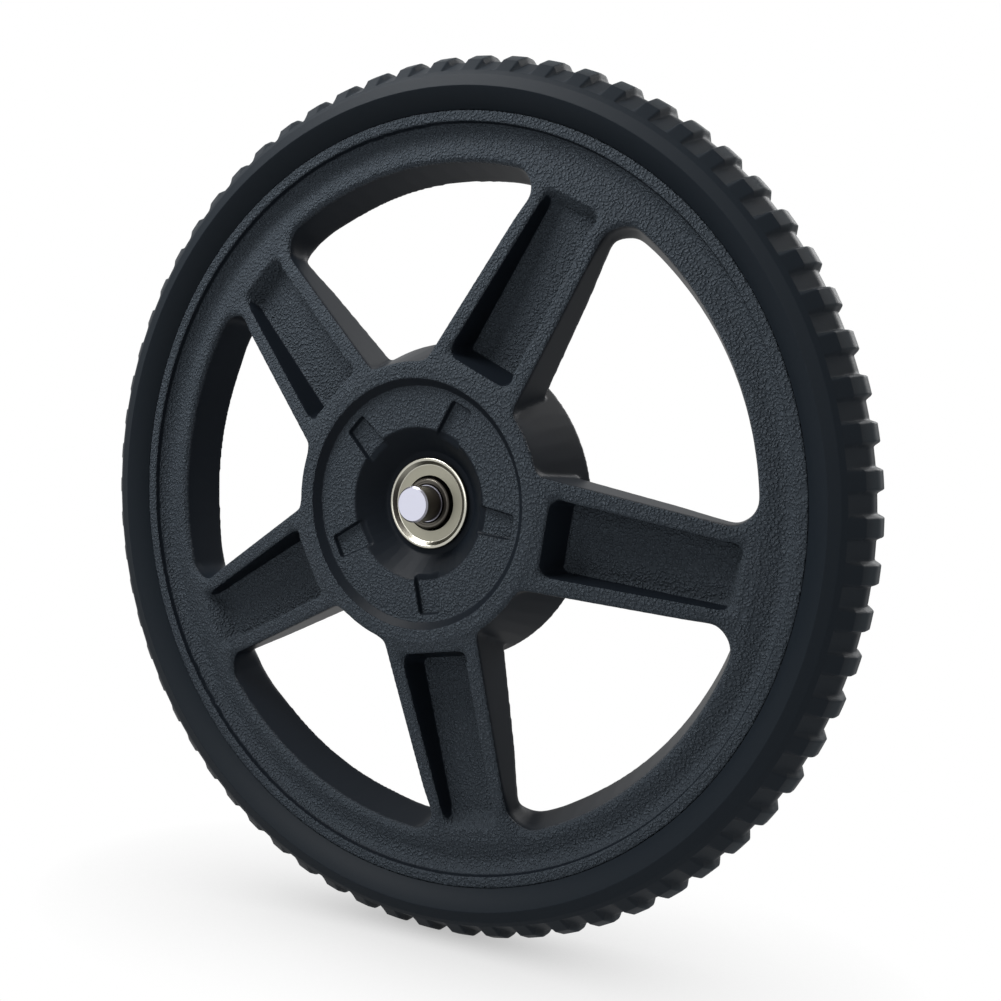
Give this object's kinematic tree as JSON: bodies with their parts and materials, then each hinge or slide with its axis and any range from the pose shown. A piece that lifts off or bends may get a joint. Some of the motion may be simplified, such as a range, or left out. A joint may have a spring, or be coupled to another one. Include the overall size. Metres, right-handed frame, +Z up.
{
  "type": "pressure washer wheel",
  "caption": "Black moulded wheel with channel spokes and a solid lugged tyre, turning on flanged ball bearings around a plain axle pin.",
  "frame": {"origin": "centre of the wheel, on the axle and in the middle plane of the tyre", "axes": "+Y along the axle towards the back, front face towards -Y, +Z up as in the picture, +X to the right seen from the front"},
  "size_m": [0.3048, 0.041, 0.3048],
  "materials": {
    "moulded_plastic": "fine leather grain on the front, smooth on the drafted walls",
    "tyre_rubber": "smooth sidewall, matt lugs",
    "zinc_shell": "zinc plated, satin",
    "zinc_shield": "yellowish zinc, satin",
    "bearing_steel": "ground and polished",
    "ring_steel": "turned steel",
    "spacer_steel": "drawn tube",
    "axle_steel": "turned and polished end, darker side"
  },
  "bodies": {
    "axle": {"axle": "axle_steel", "spacer": "spacer_steel", "front_inner_ring": "ring_steel", "rear_inner_ring": "ring_steel"},
    "wheel": {"wheel_body": "moulded_plastic", "tyre": "tyre_rubber", "front_shell": "zinc_shell", "front_shield": "zinc_shield", "rear_shell": "zinc_shell", "rear_shield": "zinc_shield"},
    "front_ball_row": {"front_balls": "bearing_steel"},
    "rear_ball_row": {"rear_balls": "bearing_steel"}
  },
  "joints": [
    {"name": "wheel_spin", "type": "hinge", "parent": "axle", "child": "wheel", "pos_m": [0, 0, 0], "axis": [0, 1, 0], "continuous": true},
    {"name": "front_balls_spin", "type": "hinge", "parent": "axle", "child": "front_ball_row", "pos_m": [0, 0, 0], "axis": [0, 1, 0], "continuous": true},
    {"name": "rear_balls_spin", "type": "hinge", "parent": "axle", "child": "rear_ball_row", "pos_m": [0, 0, 0], "axis": [0, 1, 0], "continuous": true}
  ],
  "couplings": [
    {"joint": "front_balls_spin", "follows": "wheel_spin", "ratio": 0.6107},
    {"joint": "rear_balls_spin", "follows": "wheel_spin", "ratio": 0.6107}
  ]
}
